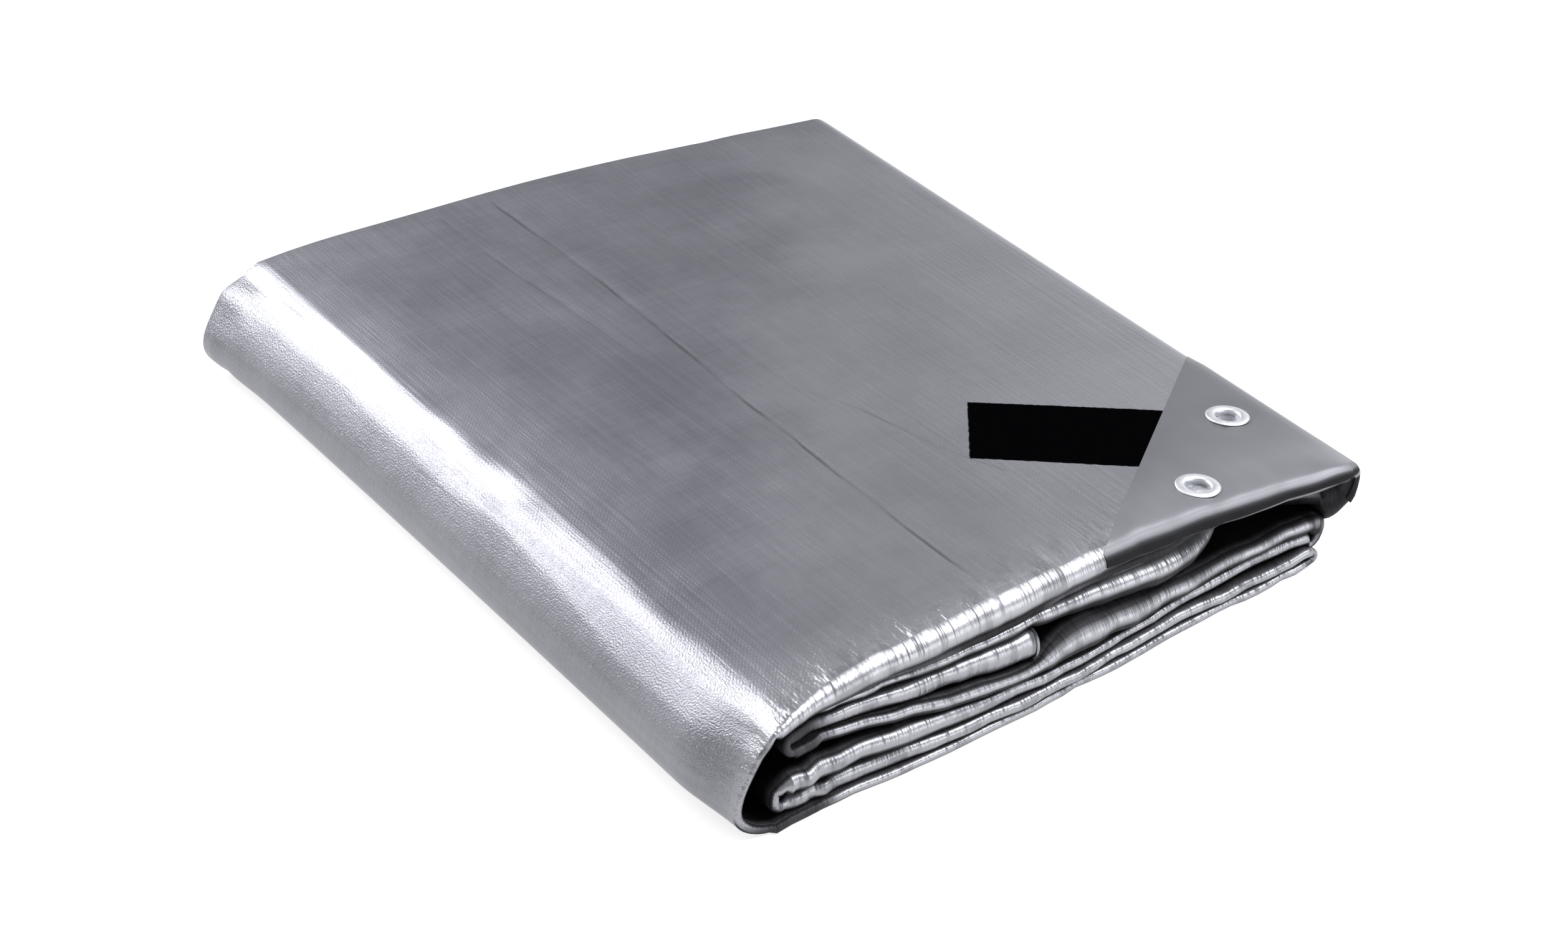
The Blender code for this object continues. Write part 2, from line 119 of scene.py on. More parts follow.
# The line of the front folds at the top and at the ground, and of the back folds
TOP_FRONT = ((-190, -244), (-167, -246), (-141, -239), (-110, -235), (-78, -233), (-28, -228),
             (22, -221.5), (94, -218), (153, -220.5))
GROUND_FRONT = ((-190, -240), (-165, -244), (-140, -242), (-46, -236), (74, -219), (140, -212))
BACK = ((-190, 234), (-160, 237), (-88, 238.5), (50, 237.5), (151, 232))


def smooth(value):
    """Zero to one with level ends."""
    value = np.clip(value, 0.0, 1.0)
    return value * value * (3.0 - 2.0 * value)


def curve(places, values, at):
    """A smooth line through a table's values."""
    places, values = np.asarray(places, float), np.asarray(values, float)
    slopes = np.gradient(values, places)
    at = np.clip(at, places[0], places[-1])
    i = np.clip(np.searchsorted(places, at) - 1, 0, len(places) - 2)
    width = places[i + 1] - places[i]
    f = (at - places[i]) / width
    rise = values[i] * (1.0 - 3.0 * f**2 + 2.0 * f**3) + values[i + 1] * (3.0 * f**2 - 2.0 * f**3)
    return rise + (slopes[i] * (f - 2.0 * f**2 + f**3) + slopes[i + 1] * (f**3 - f**2)) * width


def outline(points, at):
    return curve([p[0] for p in points], [p[1] for p in points], at)


def layer_at(name, x):
    """Low and high cloth, front recess, back recess and tuck of a layer at x."""
    layer = LAYERS[name]
    return np.array([curve(ACROSS, layer.low, x), curve(ACROSS, layer.high, x),
                     curve(RECESS_AT, layer.front_recess, x), float(layer.back_recess),
                     curve(RECESS_AT, layer.tuck, x)])


def section(place):
    """Both cloths of the strip across the packet: inner x, z, outer x, z, recesses, tuck."""
    index = min(int(place), len(COURSE) - 1)
    stretch, share = COURSE[index], place - index
    if isinstance(stretch, Run):
        x = stretch.start + (stretch.end - stretch.start) * share
        low, high, *rest = layer_at(stretch.layer, x)
        inner, outer = (high, low) if stretch.end > stretch.start else (low, high)
        return (x, inner, x, outer, *rest)
    angle = math.pi * share
    found = []
    if index == SPINE:
        before, after = layer_at("top", SPINE_X), layer_at("ground", SPINE_FOOT_X)
        centre = SPINE_X + (SPINE_FOOT_X - SPINE_X) * share
        for inset in (SPINE_INSET, 0.0):
            start, end = before[1] - inset, after[0] + inset
            middle, half = (start + end) / 2.0, (end - start) / 2.0
            bulge = (SPINE_BULGE - inset) * (math.sin(angle) - SPINE_LEAN * math.sin(2.0 * angle))
            found += [centre - bulge, middle - half * math.cos(angle)]
    else:
        before, after = layer_at(stretch.before, stretch.x), layer_at(stretch.after, stretch.x)
        near, far = (before[1], after[0]), (before[0], after[1])
        for start, end in (near, far) if stretch.side > 0 else (far, near):
            middle, half = (start + end) / 2.0, (end - start) / 2.0
            reach = abs(half) * (1.0 - 0.006 * abs(half))
            found += [stretch.x + stretch.side * reach * math.sin(angle), middle - half * math.cos(angle)]
    return (*found, *(before[2:] + (after[2:] - before[2:]) * share))


def settle(x, y, z):
    """The packet's own unevenness: it flares to the back, sags there, and ripples softly."""
    along = np.clip((y - FRONT_Y) / SPINE_LENGTH, -0.05, 1.02)
    height = z / TOP_Z
    round_height = np.sin(math.pi * np.clip(height, 0.0, 1.0))
    at_spine = smooth((-160.0 - x) / 16.0)
    flare = BACK_FLARE * along * smooth((x + 100.0) / 240.0)
    draw_in = SHOULDER_DRAW_IN * along * height**2 * smooth((-95.0 - x) / 70.0)
    draw_in = draw_in - SPINE_BACK_FLARE * smooth((y - 170.0) / 60.0) * smooth((-165.0 - x) / 20.0)
    draw_in = draw_in + SPINE_PINCH * smooth((-205.0 - y) / 38.0) * at_spine * round_height
    belly = np.sin(math.pi * np.clip(along, 0.0, 1.0))
    draw_in = draw_in + SPINE_BELLY * belly * at_spine * round_height
    crown = np.sin(math.pi * np.clip((x - SPINE_X) / (RIGHT_X - SPINE_X), 0.0, 1.0))
    ripple = np.sin(0.021 * x + 0.013 * y + 0.6) * np.sin(0.017 * y - 0.008 * x)
    floor_z = LAYERS["ground"].low[0]
    lift = (z - floor_z) * (1.0 - CROWN_LOSS * smooth(along) * crown)
    return x + flare + draw_in, y, floor_z + lift + ripple * RIPPLE * height * height * crown


def shares_of(number, stretch):
    """Where a stretch is cut, as shares of its length: closer where it is creased or crumpled."""
    if isinstance(stretch, Turn):
        return list(np.arange(stretch.steps) / stretch.steps)
    length = stretch.end - stretch.start
    count = int(round(abs(length) / stretch.step))
    closer = ()
    if number == TOP:
        closer = np.arange(-62.0, -24.0, 1.9)
    elif number in (UNDER_TOP, NEAR_GROUND, LOWER, THIN):
        closer = (*np.arange(114.0, 152.0, 2.1), *np.arange(-156.0, -126.0, 2.1))
    extra = [(x - stretch.start) / length for x in closer]
    return list(np.arange(count) / count) + [share for share in extra if 0.0 < share < 1.0]


# Places along the course. Their steps come in threes, for the coarser mesh of the hidden plies.
places = sorted(number + share for number, stretch in enumerate(COURSE)
                for share in shares_of(number, stretch))
places.append(len(COURSE) - 1e-6)
places = [a for a, b in zip(places, places[1:]) if b - a > 0.003] + [places[-1]]
while (len(places) - 1) % 3:
    wide = int(np.argmax(np.diff(places)))
    places.insert(wide + 1, (places[wide] + places[wide + 1]) / 2.0)
places = np.array(places)
stretch_at = np.minimum(places.astype(int), len(COURSE) - 1)
xi, zi, xo, zo, front_recess, back_recess, tuck = np.array([section(p) for p in places]).T
middle_x, middle_z = (xi + xo) / 2.0, (zi + zo) / 2.0
gap_x, gap_z = xo - xi, zo - zi
gap = np.hypot(gap_x, gap_z)
seed_at, lit_at, blunt_at = NOSES[stretch_at].T


def kinks(at, seed, step=13.0):
    """Small uneven kinks along a fold, as crumpled film has: straight bits between random points."""
    chance = np.random.RandomState(seed)
    knots = np.cumsum(chance.uniform(0.3, 1.7, 60) * step) - 340.0
    return np.interp(at, knots, chance.uniform(-1.0, 1.0, 60))


# The noses of the front folds, kinked most at the crumpled ends of the lower layers
height = np.clip(middle_z / TOP_Z, 0.0, 1.0)
nose = outline(GROUND_FRONT, middle_x) * (1.0 - height) + outline(TOP_FRONT, middle_x) * height
nose = nose + front_recess
on_run = np.array([isinstance(stretch, Run) for stretch in COURSE])[stretch_at]
from_turns = on_run * smooth((middle_x + 150.0) / 16.0) * smooth((140.0 - middle_x) / 16.0)
for number in range(len(COURSE)):
    here = stretch_at == number
    lively = 0.5 if number == TOP else 1.1
    nose[here] += lively * (from_turns * kinks(middle_x, 11 + number))[here]
right_end = smooth((middle_x - 112.0) / 26.0) * ~np.isin(stretch_at, (TOP, RIGHT_TURN))
left_end = smooth((-124.0 - middle_x) / 18.0) * ~np.isin(stretch_at, (TOP, SPINE))
nose = nose + (2.4 * right_end + 1.8 * left_end) * kinks(middle_x + 0.9 * middle_z, 5, 6.0)
depth = np.minimum(0.72 * gap, 8.0)
front = nose + depth
back = outline(BACK, middle_x) - back_recess
back_depth = np.minimum(0.24 * gap, 2.0)

# The strip's four plies from free edge to free edge, each between shares of the gap from its inner to its
# outer cloth. A ply ends short of the back fold, and the plies that show are meshed finely.
Ply = namedtuple("Ply", "name start end short fine stations")
PLIES = (
    Ply("free ply", 1 / 3, 1 / 3, 6.0, False, np.linspace(0.0, 0.985, 26)),
    Ply("inner fold", 1 / 3, 2 / 3, 0.0, False, np.linspace(0.0, 1.0, 9)[1:-1]),
    Ply("second ply", 2 / 3, 2 / 3, 0.0, False, np.linspace(0.985, 0.0, 26)),
    Ply("back fold", 2 / 3, 1.0, 0.0, True, np.linspace(0.0, 1.0, 8)[1:-1]),
    Ply("outer ply", 1.0, 1.0, 0.0, True, 1.0 - (1.0 - np.linspace(0.0, 1.0, 78)) ** 1.35),
    Ply("outer fold", 1.0, 0.0, 0.0, True, np.linspace(0.0, 1.0, 17)[1:-1]),
    Ply("inner ply", 0.0, 0.0, 3.0, True, (1.0 - (1.0 - np.linspace(0.0, 1.0, 26)) ** 1.9)[::-1]),
)
columns, fine, ply_at, along_at = [], [], [], []
for ply in PLIES:
    for station in ply.stations:
        angle = math.pi * station
        share = (ply.start + ply.end) / 2.0 - (ply.end - ply.start) / 2.0 * math.cos(angle)
        if ply.name == "inner fold":
            slack = 0.015 * (back - front) * (1.0 - math.sin(angle))
            y = front + slack - 0.4 * depth * math.sin(angle)
        elif ply.name == "back fold":
            y = back - back_depth * (1.0 - math.sin(angle))
        elif ply.name == "outer fold":
            inward = tuck * math.exp(-((angle - math.radians(110.0)) / math.radians(16.0)) ** 2)
            y = front - depth * math.sin(angle) ** blunt_at + inward
        else:
            rear = back - back_depth - ply.short
            y = rear + (front - rear) * station
        columns.append(np.stack(settle(xi + gap_x * share, y, zi + gap_z * share), 1))
        fine.append(ply.fine)
        ply_at.append(ply.name)
        along_at.append(station)
grid = np.stack(columns, 1)
fine, ply_at, along_at = np.array(fine), np.array(ply_at), np.array(along_at)

# The sheet's own flat sizes, for its weave, measured along one ply and round one strip
MEASURED_COLUMN, MEASURED_ROW = 70, 200
flat_s = np.cumsum([0.0, *np.linalg.norm(np.diff(grid[:, MEASURED_COLUMN], axis=0), axis=1)])
flat_t = np.cumsum([0.0, *np.linalg.norm(np.diff(grid[MEASURED_ROW], axis=0), axis=1)])
top_middle = int(np.searchsorted(places, TOP + 0.5)), int(np.flatnonzero(ply_at == "outer ply")[30])


def normals_of(points):
    """Unit normals of the grid, out of the packet on the outer ply."""
    found = np.cross(np.gradient(points, axis=0), np.gradient(points, axis=1))
    found /= np.maximum(np.linalg.norm(found, axis=2, keepdims=True), 1e-9)
    return found * np.sign(found[top_middle][2])


# Creases and lumps of the top face: a crease runs between two points
Crease = namedtuple("Crease", "x0 y0 x1 y1 bow width depth fade")
CREASES = (
    Crease(-29, 232, -46, -226, 2.0, 2.2, -0.35, 0.02),
    Crease(-60, 225, -58, 20, -1.5, 2.2, -0.3, 0.2),
    Crease(-149, -42, -12, -73, 5.0, 6.0, 0.8, 0.2),
    Crease(-12, -73, 60, -60, -4.0, 6.0, 0.6, 0.4),
    Crease(-60, -150, 30, -190, 4.0, 7.0, -0.35, 0.3),
    Crease(96, 234, 150, 190, 3.0, 5.0, -0.8, 0.2),
    Crease(60, 226, 128, 214, -3.0, 4.0, 0.7, 0.2),
)
Lump = namedtuple("Lump", "x y wide long rise")
LUMPS = (
    Lump(-86, 83, 3, 4, 0.5), Lump(-120, -10, 16, 30, 0.6), Lump(-20, -62, 20, 14, 0.8),
    Lump(30, -20, 34, 50, -0.6), Lump(-95, 120, 30, 46, -0.7), Lump(10, 120, 40, 60, 0.5),
    Lump(90, 60, 30, 60, 0.5), Lump(-100, -120, 26, 40, -0.6), Lump(0, -150, 34, 24, 0.5),
    Lump(-70, -190, 30, 20, 0.4), Lump(132, 212, 16, 12, 1.0), Lump(112, 196, 14, 10, -0.7),
)


def relief_of_top(x, y):
    """Height of the top face's creases and lumps at a point."""
    rise = np.zeros_like(x)
    for c in CREASES:
        way = np.array([c.x1 - c.x0, c.y1 - c.y0], float)
        long = np.hypot(*way)
        way /= long
        share = ((x - c.x0) * way[0] + (y - c.y0) * way[1]) / long
        off = (x - c.x0) * -way[1] + (y - c.y0) * way[0]
        off = off - c.bow * np.sin(math.pi * np.clip(share, 0.0, 1.0) * 2.0)
        ends = smooth(share / max(c.fade, 0.01)) * smooth((1.0 - share) / max(c.fade, 0.01))
        wobble = 0.75 + 0.25 * np.sin(0.11 * y + 0.07 * x)
        trough = np.exp(-((off / c.width) ** 2))
        bank = np.exp(-(((off - 2.6 * c.width) / (2.0 * c.width)) ** 2))
        rise += c.depth * wobble * ends * (trough - 0.35 * bank)
    for lump in LUMPS:
        rise += lump.rise * np.exp(-(((x - lump.x) / lump.wide) ** 2) - ((y - lump.y) / lump.long) ** 2)
    return rise


# Relief moves a single ply along its normals
x_of, y_of, z_of = (grid[:, :, k] for k in range(3))
front_at = front[:, None]
CRINKLE_LONG = 34.0
turned = 2.0 * math.pi * flat_s / CRINKLE_LONG
crinkle_wave = np.sin(turned + seed_at)
crinkle_wave += 0.7 * np.sin(turned / 0.57 + 2.1 * seed_at + 0.8 * crinkle_wave)
crinkle_sharp = np.sin(turned / 1.42 + 1.7 * seed_at + 0.5 * crinkle_wave)
crinkle = 0.45 * crinkle_wave + 0.4 * (1.0 - 2.0 * np.abs(crinkle_sharp))
crinkle = crinkle * np.where(stretch_at == SPINE, 0.5, 1.0) * np.clip(gap / 10.0, 0.12, 1.0)
near_front = np.exp(-np.maximum(y_of - (front_at - 1.0), 0.0) / 16.0)
crinkled_plies = np.isin(ply_at, ("outer ply", "outer fold")) + 0.5 * (ply_at == "inner ply")
relief = 0.55 * near_front * crinkle[:, None] * crinkled_plies[None]
out_of_fold = np.where(np.isin(ply_at, ("outer ply", "outer fold", "inner ply")), 0.6, 0.0)
relief += np.where(ply_at == "back fold", 0.6 * along_at, out_of_fold)[None]

# What is shared moves all plies together: the top's creases, and its soft roll over the front fold
on_top = (stretch_at == TOP)[:, None] * 1.0
shared = on_top * relief_of_top(x_of, y_of) * smooth((x_of - (SPINE_X + 6.0)) / 12.0)
shared = shared * smooth((y_of + 238.0) / 14.0)
FRONT_ROLL = 1.5
from_front = np.clip((front_at + 18.0 - y_of) / 22.0, 0.0, 1.3)
top_inside = smooth((150.0 - x_of) / 20.0) * smooth((x_of + 172.0) / 20.0)
shared -= on_top * FRONT_ROLL * from_front**2 * top_inside

# The spine's shoulder is flattened and dented. Places there are shares of the spine's turn, and go below
# zero on the top face.
SHOULDER_FLAT = 2.5
Dent = namedtuple("Dent", "share y wide long rise")
DENTS = (
    Dent(0.04, 30, 0.10, 12, -1.3), Dent(0.0, 2, 0.10, 9, 1.0), Dent(0.06, -24, 0.12, 12, -1.3),
    Dent(0.0, -50, 0.10, 10, 1.0), Dent(0.16, 66, 0.14, 22, 0.5), Dent(0.2, 140, 0.14, 30, -0.6),
    Dent(0.2, -110, 0.16, 34, -0.5), Dent(0.1, 178, 0.1, 12, 0.7), Dent(0.16, -170, 0.12, 20, 0.5),
    Dent(0.08, 222, 0.08, 7, -1.8), Dent(0.26, 228, 0.1, 9, 1.8), Dent(0.42, 219, 0.1, 6, -1.6),
    Dent(0.22, 200, 0.1, 7, -0.9), Dent(0.58, 226, 0.12, 8, 1.6), Dent(0.75, 214, 0.1, 7, -0.8),
)
at_shoulder = np.isin(stretch_at, (SPINE, TOP))[:, None] * 1.0
round_spine = np.where(stretch_at[:, None] == TOP, -(x_of - SPINE_X) / 90.0,
                       np.clip(places - SPINE, 0.0, 1.0)[:, None])
shoulder_from = 0.075 + 0.02 * np.sin(0.031 * y_of + 0.6) + 0.012 * np.sin(0.083 * y_of + 1.4)
off_shoulder = round_spine - shoulder_from
above = off_shoulder < 0.0
off_shoulder /= np.where(above, 0.18 + 0.02 * np.sin(0.022 * y_of + 2.0),
                         0.2 + 0.07 * smooth((-40.0 - y_of) / 120.0))
shoulder = np.clip(1.0 - off_shoulder**2, 0.0, 1.0) ** np.where(above, 1.1, 1.35)
shared -= at_shoulder * SHOULDER_FLAT * shoulder
for dent in DENTS:
    away = ((round_spine - dent.share) / dent.wide) ** 2 + ((y_of - dent.y) / dent.long) ** 2
    shared += at_shoulder * dent.rise * np.exp(-away)

# The ply below shows through the eyelets, close under the outer one
Eyelet = namedtuple("Eyelet", "node x y")
EYELETS = (Eyelet("eyelet_side", 139.5, -151.0), Eyelet("eyelet_front", 84.1, -196.0))
RAISED_REACH, SEEN_REACH = 22.0, 16.0
raised = (gap / 3.0 + 0.1)[:, None] * (ply_at == "second ply")[None] * on_top
for eyelet in EYELETS:
    away = np.hypot(x_of + CENTRE_SHIFT[0] - eyelet.x, y_of + CENTRE_SHIFT[1] - eyelet.y)
    shared += raised * np.exp(-((away / RAISED_REACH) ** 4))

# Each fold's nose swells into the room between it and its neighbours
UPWARDS = ("ground", "near_ground", "lower", "thin", "flap", "under_top", "top")
FLAP_END_X = -24


def room(name, x, side):
    """Half the free height above or below a layer at x, less the sheet itself."""
    near = UPWARDS.index(name) + side
    if 0 <= near < len(UPWARDS) and UPWARDS[near] == "flap" and x > FLAP_END_X:
        near += side
    if not 0 <= near < len(UPWARDS):
        return 0.6
    here, there = layer_at(name, x), layer_at(UPWARDS[near], x)
    free = there[0] - here[1] if side > 0 else here[0] - there[1]
    return float(np.clip(free / 2.0 - 0.8, 0.0, 1.6))


swell = np.zeros((len(places), 2))
for row, number in enumerate(stretch_at):
    stretch = COURSE[number]
    if isinstance(stretch, Run):
        x = stretch.start + (stretch.end - stretch.start) * (places[row] - number)
        above, below = room(stretch.layer, x, 1), room(stretch.layer, x, -1)
        swell[row] = (below, above) if stretch.end < stretch.start else (above, below)
nose_near = np.exp(-(np.maximum(y_of - (front_at + 2.0), 0.0) ** 2) / 200.0)
round_fold = np.where(ply_at == "outer fold", along_at, 0.0)
inner_side = (ply_at == "inner ply") + round_fold
outer_side = (ply_at == "outer ply") + (ply_at == "outer fold") - round_fold
relief += nose_near * (swell[:, :1] * inner_side[None] + swell[:, 1:] * outer_side[None])
outward = np.stack([gap_x / gap, np.zeros_like(gap), gap_z / gap], 1)[:, None, :]
cloth = grid + normals_of(grid) * relief[:, :, None] + outward * shared[:, :, None]

# Some right-hand turns sag at the front corner, and the lowest stands out under them
Droop = namedtuple("Droop", "stretches from_x below fall pull")
DROOPS = (
    Droop((UNDER_TOP, RIGHT_TURN, TOP), 147.5, 47.0, -8.0, -2.5),
    Droop((LOWER, LOW_RIGHT_TURN, THIN), 141.0, 24.0, -4.0, -4.0),
    Droop((GROUND_TURN, NEAR_GROUND), 130.0, 24.0, 1.6, 3.0),
)
LOWEST_CLOTH = 0.3
unflared_x = x_of - BACK_FLARE * (y_of - FRONT_Y) / SPINE_LENGTH
for droop in DROOPS:
    sag = np.isin(stretch_at, droop.stretches)[:, None] * smooth((unflared_x - droop.from_x) / 5.0)
    sag = sag * smooth((droop.below - z_of) / 10.0) * smooth((-140.0 - y_of) / 60.0)
    cloth[:, :, 2] += droop.fall * sag
    cloth[:, :, 0] += droop.pull * sag
cloth[:, :, 2] = np.maximum(cloth[:, :, 2], LOWEST_CLOTH)
cloth_normals = normals_of(cloth)

# A small roll along each free edge of the sheet, as its hem
HEM_ANGLES = (70.0, 140.0, 210.0, 280.0, 340.0)
HEM_ROWS = len(HEM_ANGLES)
hem_flat = 0.8 * np.arange(1, HEM_ROWS + 1)
hem_reach = np.minimum(0.25 * gap / 3.0, 0.6)


def with_hem(points, reach, way, at_end):
    """Rows that curl a free edge over into a small roll."""
    edge, inward = (points[-1], points[-2]) if at_end else (points[0], points[1])
    tangent = edge - inward
    tangent /= np.linalg.norm(tangent, axis=1, keepdims=True)
    roll = np.stack([edge + reach[:, None] * (tangent * math.sin(angle) + way * (1.0 - math.cos(angle)))
                     for angle in np.radians(HEM_ANGLES)])
    return np.concatenate([points, roll] if at_end else [roll[::-1], points])


sheet_grid = with_hem(np.swapaxes(cloth, 0, 1), hem_reach, -cloth_normals[:, -1], True)
sheet_grid = np.swapaxes(sheet_grid, 0, 1)
first_way, end_way = np.pad(normals_of(grid)[[0, -1]], ((0, 0), (0, HEM_ROWS), (0, 0)), "edge")
columns = sheet_grid.shape[1]
sheet_grid = with_hem(sheet_grid, np.full(columns, hem_reach[-1]), end_way, True)
sheet_grid = with_hem(sheet_grid, np.full(columns, hem_reach[0]), first_way, False)
rows = len(sheet_grid) - (len(sheet_grid) - 1) % 3
sheet_grid = sheet_grid[:rows]
flat_s = np.concatenate([flat_s[0] - hem_flat[::-1], flat_s, flat_s[-1] + hem_flat])[:rows]
flat_t = np.concatenate([flat_t, flat_t[-1] + hem_flat])
fine = np.concatenate([fine, np.ones(HEM_ROWS, bool)])
front_rows, back_rows, stretch_rows, lit_rows = (
    np.pad(values, HEM_ROWS, "edge")[:rows, None] for values in (front, back, stretch_at, lit_at))
ply_columns = np.concatenate([ply_at, ["inner ply"] * HEM_ROWS])[None]
along_columns = np.concatenate([along_at, np.ones(HEM_ROWS)])[None]

# Inner plies are meshed three times as coarsely as the ones that show
used = fine[None] | (np.arange(rows) % 3 == 0)[:, None]
number_of = (np.cumsum(used) - 1).reshape(used.shape).tolist()
faces = []
for j in range(columns - 1):
    step = 1 if fine[j] else 3
    for i in range(0, rows - 1, step):
        here, there = number_of[i], number_of[i + step]
        between = [number_of[k][j + 1] for k in range(i + step - 1, i, -1)] if fine[j + 1] else []
        faces.append((here[j], there[j], there[j + 1], *between, here[j + 1]))

HOLE_RADIUS, CLEARED_RADIUS = 7.6, 6.4


def with_holes(points, faces, open_cloth):
    """Open a round hole under each eyelet in the cloth that is marked."""
    points = points.copy()
    for eyelet in EYELETS:
        off = points[:, :2] - (eyelet.x, eyelet.y)
        away = np.hypot(off[:, 0], off[:, 1])
        inside = (away < CLEARED_RADIUS) & open_cloth
        kept, rim = [], set()
        for face in faces:
            if inside[list(face)].any():
                rim.update(v for v in face if not inside[v])
            else:
                kept.append(face)
        rim = np.array(sorted(rim))
        points[rim, :2] = (eyelet.x, eyelet.y) + off[rim] * (HOLE_RADIUS / away[rim])[:, None]
        faces = kept
    return points, faces


outer_top = ((ply_columns == "outer ply") & (stretch_rows == TOP))[used]
sheet_points, faces = with_holes(sheet_grid[used] + CENTRE_SHIFT, faces, outer_top)
mesh = bpy.data.meshes.new("folded_sheet")
mesh.from_pydata(sheet_points * MM, [], faces)
mesh.shade_smooth()

# The sheet's flat sizes lie on the mesh as its texture map, in metres
flat_layer = mesh.uv_layers.new(name="flat")
flat_sizes = np.stack([both[used] for both in np.meshgrid(flat_s, flat_t, indexing="ij")], 1) * MM
at_corner = np.zeros(len(mesh.loops), int)
mesh.loops.foreach_get("vertex_index", at_corner)
flat_layer.data.foreach_set("uv", flat_sizes[at_corner].ravel())


def vertex_value(mesh, name, values):
    """A number for each vertex that the material reads."""
    mesh.attributes.new(name, "FLOAT", "POINT").data.foreach_set("value", values.astype(np.float32))


gx, gy, gz = (sheet_grid[:, :, k] for k in range(3))
near_fold = np.exp(-np.maximum(gy - front_rows + 2.0, 0.0) / 10.0)
vertex_value(mesh, "near_fold", near_fold[used])

# Painted shade: cloth that lies well inside, between two layers and away from the packet's open sides, is
# painted dark
right_open = np.where(np.isin(stretch_rows, (UNDER_TOP, RIGHT_TURN, TOP)), 172.0, 160.0)
deep = smooth((gy - front_rows + 2.5) / 5.5) * smooth((back_rows - gy - 3.0) / 12.0)
deep = deep * smooth((right_open - gx) / 12.0)
shown = np.isin(ply_columns, ("outer ply", "back fold", "outer fold"))
shown = shown & np.isin(stretch_rows, (RIGHT_TURN, TOP, SPINE, GROUND))
deep = np.where(shown, 0.0, deep)

# Painted shade on the front folds: only the nose is left bright, and its flanks and what faces down are
# painted dark
on_fold = ply_columns == "outer fold"
off_nose = np.where(shown, along_columns - 0.5, np.abs(along_columns - 0.5))
flank = smooth((off_nose - lit_rows) / np.where(shown, 0.22, 0.14))
up_part = normals_of(sheet_grid)[:, :, 2]
downward = smooth((np.where(shown, -0.05, 0.4 - 1.9 * lit_rows) - up_part) / 0.3)
deep = np.maximum(deep, 0.94 * np.maximum(flank, downward) * on_fold)

# The spine's foot, the hollow under the right-hand corner and the fold ends inside the spine get painted
# shade too, and the lowest folds less of it, as the bright ground lights them
foot = (stretch_rows == GROUND) * smooth((-128.0 - gx) / 14.0)
foot = foot + (stretch_rows == SPINE) * smooth((9.0 - gz) / 8.0)
deep = np.maximum(deep, 0.9 * foot * on_fold * (along_columns > 0.1))
corner = smooth((gx - 138.0) / 12.0) * smooth((48.5 - gz) / 5.0) * smooth((-185.0 - gy) / 15.0)
deep = np.maximum(deep, corner * np.where(np.isin(stretch_rows, (UNDER_TOP, RIGHT_TURN, TOP)), 0.95, 0.6))
low_face = np.isin(stretch_rows, (GROUND, GROUND_TURN, NEAR_GROUND)) * on_fold * smooth((gx + 128.0) / 14.0)
deep = deep * (1.0 - 0.45 * low_face)
inner_left = smooth((-128.0 - gx) / 16.0) * smooth((-205.0 - gy) / 15.0)
inner_left = inner_left * np.isin(stretch_rows, (UNDER_TOP, THIN, FLAP_TURN, FLAP))
deep = np.maximum(deep, 0.85 * inner_left)
# The ply seen through the eyelets is kept clear of painted shade
for eyelet in EYELETS:
    away = np.hypot(gx + CENTRE_SHIFT[0] - eyelet.x, gy + CENTRE_SHIFT[1] - eyelet.y)
    seen_through = (away < SEEN_REACH) & (ply_columns == "second ply") & (stretch_rows == TOP)
    deep = np.where(seen_through, 0.0, deep)
vertex_value(mesh, "deep", deep[used])
folded_sheet = bpy.data.objects.new("folded_sheet", mesh)
scene.collection.objects.link(folded_sheet)


# Every finish here is written as sums on shader sockets, so that weave and creases read as formulas
class Sock:
    """A shader value that can be added, multiplied and compared like a number."""

    def __init__(self, tree, socket):
        self.tree = tree
        self.socket = socket

    def sum(self, kind, *values):
        node = self.tree.nodes.new("ShaderNodeMath")
        node.operation = kind
        put(self.tree, node, values)
        return Sock(self.tree, node.outputs[0])

    def __add__(self, other):
        return self.sum("ADD", self, other)

    __radd__ = __add__

    def __sub__(self, other):
        return self.sum("SUBTRACT", self, other)

    def __rsub__(self, other):
        return self.sum("SUBTRACT", other, self)

    def __mul__(self, other):
        return self.sum("MULTIPLY", self, other)

    __rmul__ = __mul__

    def __truediv__(self, other):
        return self.sum("DIVIDE", self, other)

    def over(self, edge):
        return self.sum("GREATER_THAN", self, edge)

    def most(self, other):
        return self.sum("MAXIMUM", self, other)

    def wave(self):
        return self.sum("SINE", self)

    def size(self):
        return self.sum("ABSOLUTE", self)

    def ramp(self, start, end, low=0.0, high=1.0):
        """Smoothly from low to high while this goes from start to end."""
        node = self.tree.nodes.new("ShaderNodeMapRange")
        node.interpolation_type = "SMOOTHSTEP"
        put(self.tree, node, (self, start, end, low, high))
        return Sock(self.tree, node.outputs[0])


def put(tree, node, values):
    """Fill a node's sockets in order, or by name, with links and plain values."""
    pairs = values.items() if isinstance(values, dict) else enumerate(values)
    for key, value in pairs:
        if isinstance(value, Sock):
            tree.links.new(value.socket, node.inputs[key])
        else:
            node.inputs[key].default_value = value


